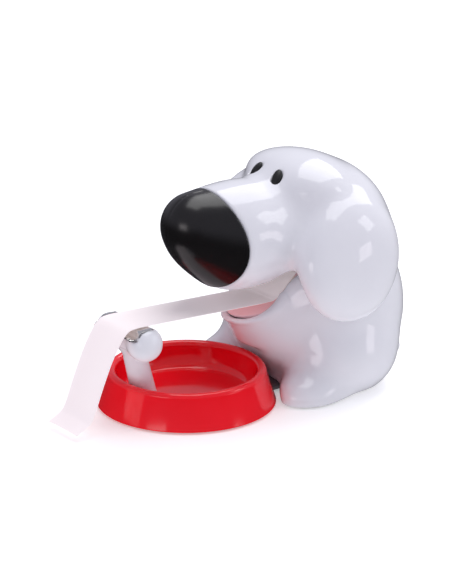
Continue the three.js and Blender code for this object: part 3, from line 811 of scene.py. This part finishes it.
# ================================================================ blade and tape
def blade_piece():
    """A bent strip whose front lip is cut into teeth."""
    teeth = 12
    pitch = BLADE_W / teeth
    bend = [(-24.4, 38.9), (-29.4, 38.95), (-30.3, 38.8), (-31.2, 37.6), (-31.8, 36.9),
            (-32.6, 36.7), (-33.6, 36.6), (-35.1, 36.3)]
    path = smooth_path(bend, 4)
    xs = np.linspace(-BLADE_W / 2, BLADE_W / 2, teeth * 2 + 1)
    strip = ribbon("blade_skin", path, xs, 0.45, blade_steel)
    tip = bend[-1][0]
    root = bend[-2][0]
    for vertex in strip.data.vertices:
        x, y, z = (np.array(vertex.co) - np.array(SHIFT)) / MM
        phase = abs((x + BLADE_W / 2) / pitch % 1 - 0.5) * 2
        if y < root:
            y = root + (y - root) * (1 - phase * 0.98)
        vertex.co = to_row((x, y, z))
    return tidied(strip)


TAPE_PATH = [
    (50.5, 49.9), (44, 44.2), (38.5, 39.2), (35.8, 37.3), (32, 36.9), (14, 37.7),
    (-10, 38.9), (-24, 39.55), (-30.2, 39.7), (-34, 38.9), (-37.4, 35.4), (-41.6, 28.4),
    (-46, 18.6), (-49.6, 9.6), (-51.6, 6.2), (-54, 4.6), (-58, 2.6),
]


def tape_piece():
    """The free stretch of tape. It starts on the roll, creases on the liner's rear ridge,
    lies on the blade and hangs in a slow curl."""
    wrap = ROLL_R + 0.35
    start = math.atan2(TAPE_PATH[0][1] - ROLL_Z, TAPE_PATH[0][0] - ROLL_Y)
    on_roll = [
        (ROLL_Y + wrap * math.cos(a), ROLL_Z + wrap * math.sin(a))
        for a in start - np.radians([44, 33, 22, 11])
    ]
    path = smooth_path([*on_roll, *TAPE_PATH], 7)
    half = TAPE_W / 2

    def bow(t, x):
        between = math.sin(math.pi * np.clip((t - 0.36) / 0.3, 0, 1))
        hanging = np.clip((t - 0.72) / 0.2, 0, 1)
        cup = (1 - (x / half) ** 2)
        return 0.35 * cup * between - 0.5 * cup * hanging

    return ribbon("tape_film_strip", path, np.linspace(-half, half, 15), 0.14, film, bow)


dress(blade_piece(), "body", "blade_steel", "cutter_blade")
dress(tape_piece(), "body", "clear_tape", "tape_web")


# ================================================================ roll, core, hubs and cradle
def roll_piece():
    """Wound tape: its side faces step in and out a little from turn to turn."""
    half = TAPE_W / 2
    rng = np.random.default_rng(7)
    inner = CORE_R + GAP
    turns = np.linspace(inner, ROLL_R, 46)
    proud = 0.06 * rng.standard_normal(len(turns)).clip(-1.5, 1.5)
    proud = np.convolve(proud, [0.25, 0.5, 0.25], mode="same") - 0.09
    one_side = [(r, half + step) for r, step in zip(turns, proud)]
    other_side = [(r, -half - step) for r, step in zip(turns[::-1], proud[::-1])]
    return turned("wound_roll", one_side + other_side, wound, ROLL_CENTRE, "x", sides=144)


def core_piece():
    half = TAPE_W / 2
    corners = [(CORE_BORE_R, -half), (CORE_R, -half), (CORE_R, half), (CORE_BORE_R, half)]
    return turned("card_core", rounded(corners, 0.25), card, ROLL_CENTRE, "x", sides=128)


def hub_piece(name, side):
    """A flanged cup with a stub axle, a dished face and a ring of lightening holes."""
    spigot = CORE_BORE_R - GAP
    flange = TAPE_W / 2 + GAP
    corners = [
        (0, flange - 1.6, 0),
        (spigot - 2, flange - 1.6),
        (spigot - 2, GAP),
        (spigot, GAP, 0.4),
        (spigot, flange),
        (CORE_R + 1.2, flange, 0.3),
        (CORE_R + 1.2, flange + 1.3, 0.5),
        (spigot - 1.5, flange + 1.3, 0.4),
        (spigot - 2.1, flange + 0.8, 0.4),
        (AXLE_R + 1.6, flange + 0.8, 0.6),
        (AXLE_R, flange + 1.6, 0.4),
        (AXLE_R, 15.8, 0.5),
        (0, 15.8, 0),
    ]
    disc = turned(name, rounded(corners, 0.2), grey, ROLL_CENTRE, "x", side)
    holes = []
    for i in range(5):
        a = 2 * math.pi * i / 5
        place = (0, ROLL_Y + 7.2 * math.cos(a), ROLL_Z + 7.2 * math.sin(a))
        drill = [(0, flange - 4), (1.7, flange - 4), (1.7, flange + 4), (0, flange + 4)]
        holes.append(turned("drill", drill, grey, place, "x", side, sides=32))
    return combined(disc, "DIFFERENCE", *holes)


def cradle_piece():
    """Two arms with open slots for the hub axles, joined by a foot plate."""
    slot = AXLE_R + 0.35
    arc = [(ROLL_Y + slot * math.cos(a), ROLL_Z + slot * math.sin(a))
           for a in np.linspace(0, -math.pi, 17)]
    outline = [(76, 4), (70.5, 37), (ROLL_Y + slot, 37), *arc, (ROLL_Y - slot, 37), (61.5, 37), (56, 4)]
    arms = [extruded("arm", outline, left, left + 3, grey, 0.35) for left in (-15.2, 12.2)]
    foot = box_piece("cradle_skin", (-15.2, 56, INSIDE_LOW), (15.2, 76, 5.1), grey, 0.3)
    return combined(foot, "UNION", *arms)


dress(roll_piece(), "roll", "clear_tape", "tape_roll")
dress(core_piece(), "roll", "core_card", "tape_core")
dress(hub_piece("hub_skin_left", 1), "roll", "base_plastic", "hub_left")
dress(hub_piece("hub_skin_right", -1), "roll", "base_plastic", "hub_right")
dress(cradle_piece(), "body", "base_plastic", "roll_cradle")


# ================================================================ ballast, pin, screws and pads
def ballast_piece():
    slab = box_piece("ballast_skin", ballast_low, ballast_high, iron, 1.1)
    pocket = box_piece(
        "pocket", (ballast_low[0] + 4, ballast_low[1] + 3.5, ballast_high[2] - 0.8),
        (ballast_high[0] - 4, ballast_high[1] - 3.5, ballast_high[2] + 2), iron)
    return combined(slab, "DIFFERENCE", pocket)


def pin_piece():
    ends = [(0, pin_low[0], 0), (PIN_R, pin_low[0]), (PIN_R, pin_high[0]), (0, pin_high[0], 0)]
    return turned("pin_skin", rounded(ends, 0.35), zinc, (0, HINGE_Y, HINGE_Z), "x", sides=48)


def screw_piece(node):
    """A pan-head screw with a cross recess, seen from below, and a threaded shank."""
    low, high = design_box(node)
    centre = ((low[0] + high[0]) / 2, (low[1] + high[1]) / 2, 0)
    head_low, head_high = low[2], 1.6
    pitch, depth = 0.8, 0.16
    crests = []
    for z in np.arange(head_high + 0.7, high[2] - 1.4, pitch):
        crests += [(SCREW_R - depth, z), (SCREW_R, z + pitch * 0.45)]
    profile = [
        (0, head_low), (SCREW_HEAD_R - 0.6, head_low), (SCREW_HEAD_R - 0.15, head_low + 0.25),
        (SCREW_HEAD_R, head_high - 0.1), (SCREW_HEAD_R - 0.1, head_high), (SCREW_R, head_high),
        *crests, (SCREW_R - depth, high[2] - 1.2), (0.25, high[2]), (0, high[2]),
    ]
    screw = turned(node + "_skin", profile, zinc, centre, sides=40)
    bars = []
    for dx, dy in ((1.25, 0.28), (0.28, 1.25)):
        corner = np.array([dx, dy, 0])
        bars.append(box_piece("bar", np.array(centre) - corner - (0, 0, 1),
                              np.array(centre) + corner + (0, 0, head_low + 0.4), zinc))
    return combined(screw, "DIFFERENCE", *bars)


def pad_piece(node):
    """A rubber disc with a rounded edge and two ring grooves underneath."""
    low, high = design_box(node)
    centre = ((low[0] + high[0]) / 2, (low[1] + high[1]) / 2, 0)
    radius = (high[0] - low[0]) / 2
    groove = 0.3
    corners = [(0, low[2], 0)]
    for r in (1.6, 3.2):
        corners += [(r, low[2]), (r, low[2] + groove), (r + 0.6, low[2] + groove), (r + 0.6, low[2])]
    corners += [(radius, low[2], 0.4), (radius, high[2], 0.3), (0, high[2], 0)]
    return turned(node + "_skin", rounded(corners, 0.08, 2), rubber, centre, sides=64)


dress(ballast_piece(), "body", "ballast_iron", "ballast_block")
dress(pin_piece(), "body", "fastener_steel", "hinge_pin")
SCREWS = [f"body_screw_{i + 1}" for i in range(4)] + [f"bowl_screw_{i + 1}" for i in range(3)]
for node in SCREWS + ["bone_screw"]:
    dress(screw_piece(node), "body", "fastener_steel", node)
for node in PADS:
    dress(pad_piece(node), "body", "pad_rubber", node)


# ================================================================ stage, light and camera
FLOOR_GLOW = 0.32
LIGHT_AIM = Vector((0, 0, 0.04))
AZIMUTH = 53.3
ELEVATION = 19.7
DISTANCE = 1.5
LENS = 238.6
AIM = Vector((-2.4, 20.9, 40.1)) * MM + SHIFT
WORLD_LOW = (0.05, 0.05, 0.06)
WORLD_HIGH = (0.40, 0.40, 0.47)


def stage_floor():
    material = finish("pale_floor", (0.88, 0.88, 0.88), (0.9, 0.9, 0.9), (0.55, 0.65), 4, 0.01)
    shader = material.node_tree.nodes["Principled BSDF"]
    shader.inputs["Emission Color"].default_value = (1, 1, 1, 1)
    shader.inputs["Emission Strength"].default_value = FLOOR_GLOW
    half = 4.0
    corners = [(-half, -half, 0), (half, -half, 0), (half, half, 0), (-half, half, 0)]
    mesh = bpy.data.meshes.new("floor")
    mesh.from_pydata(corners, [], [(0, 1, 2, 3)])
    mesh.materials.append(material)
    floor = bpy.data.objects.new("floor", mesh)
    bpy.context.scene.collection.objects.link(floor)
    floor.visible_glossy = False


def softbox(name, azimuth, elevation, distance, size, radiance, color=(1, 1, 1)):
    """A rectangular light that faces the object from a direction. Azimuth 0 is the dog's front
    and 90 its left side."""
    a, e = math.radians(azimuth), math.radians(elevation)
    back = Vector((math.sin(a) * math.cos(e), -math.cos(a) * math.cos(e), math.sin(e)))
    data = bpy.data.lights.new(name, "AREA")
    data.shape = "RECTANGLE"
    data.size, data.size_y = size
    data.energy = radiance * math.pi * size[0] * size[1]
    data.color = color
    light = bpy.data.objects.new(name, data)
    light.location = LIGHT_AIM + back * distance
    light.rotation_mode = "QUATERNION"
    light.rotation_quaternion = (-back).to_track_quat("-Z", "Y")
    bpy.context.scene.collection.objects.link(light)


def camera():
    a, e = math.radians(AZIMUTH), math.radians(ELEVATION)
    back = Vector((math.sin(a) * math.cos(e), -math.cos(a) * math.cos(e), math.sin(e)))
    data = bpy.data.cameras.new("camera")
    data.lens = LENS
    data.sensor_width = 36
    data.clip_start = 0.01
    eye = bpy.data.objects.new("camera", data)
    eye.location = AIM + back * DISTANCE
    eye.rotation_mode = "QUATERNION"
    eye.rotation_quaternion = (-back).to_track_quat("-Z", "Y")
    bpy.context.scene.collection.objects.link(eye)
    bpy.context.scene.camera = eye


def world_light():
    """Pale lavender above the horizon and dim below it."""
    world = bpy.data.worlds.new("world")
    world.use_nodes = True
    nodes, links = world.node_tree.nodes, world.node_tree.links
    place = nodes.new("ShaderNodeTexCoord")
    split = nodes.new("ShaderNodeSeparateXYZ")
    ramp = nodes.new("ShaderNodeValToRGB")
    spread = nodes.new("ShaderNodeMapRange")
    spread.inputs["From Min"].default_value = -1
    ramp.color_ramp.elements[0].position = 0.42
    ramp.color_ramp.elements[0].color = (*WORLD_LOW, 1)
    ramp.color_ramp.elements[1].position = 0.62
    ramp.color_ramp.elements[1].color = (*WORLD_HIGH, 1)
    links.new(place.outputs["Generated"], split.inputs["Vector"])
    links.new(split.outputs["Z"], spread.inputs["Value"])
    links.new(spread.outputs["Result"], ramp.inputs["Fac"])
    links.new(ramp.outputs["Color"], nodes["Background"].inputs["Color"])
    bpy.context.scene.world = world


stage_floor()
softbox("overhead", -156, 66, 0.9, (0.62, 1.35), 2.7)
softbox("rear_right", 138, 33, 1.0, (0.28, 0.35), 2.8)
softbox("front_left", 16, 10, 1.0, (0.42, 0.26), 2.6, (1.0, 0.93, 0.95))
softbox("right_side", 122, 7, 1.0, (0.26, 0.22), 2.6, (1.0, 0.93, 0.95))
world_light()
bpy.context.scene.view_settings.view_transform = "Standard"
camera()
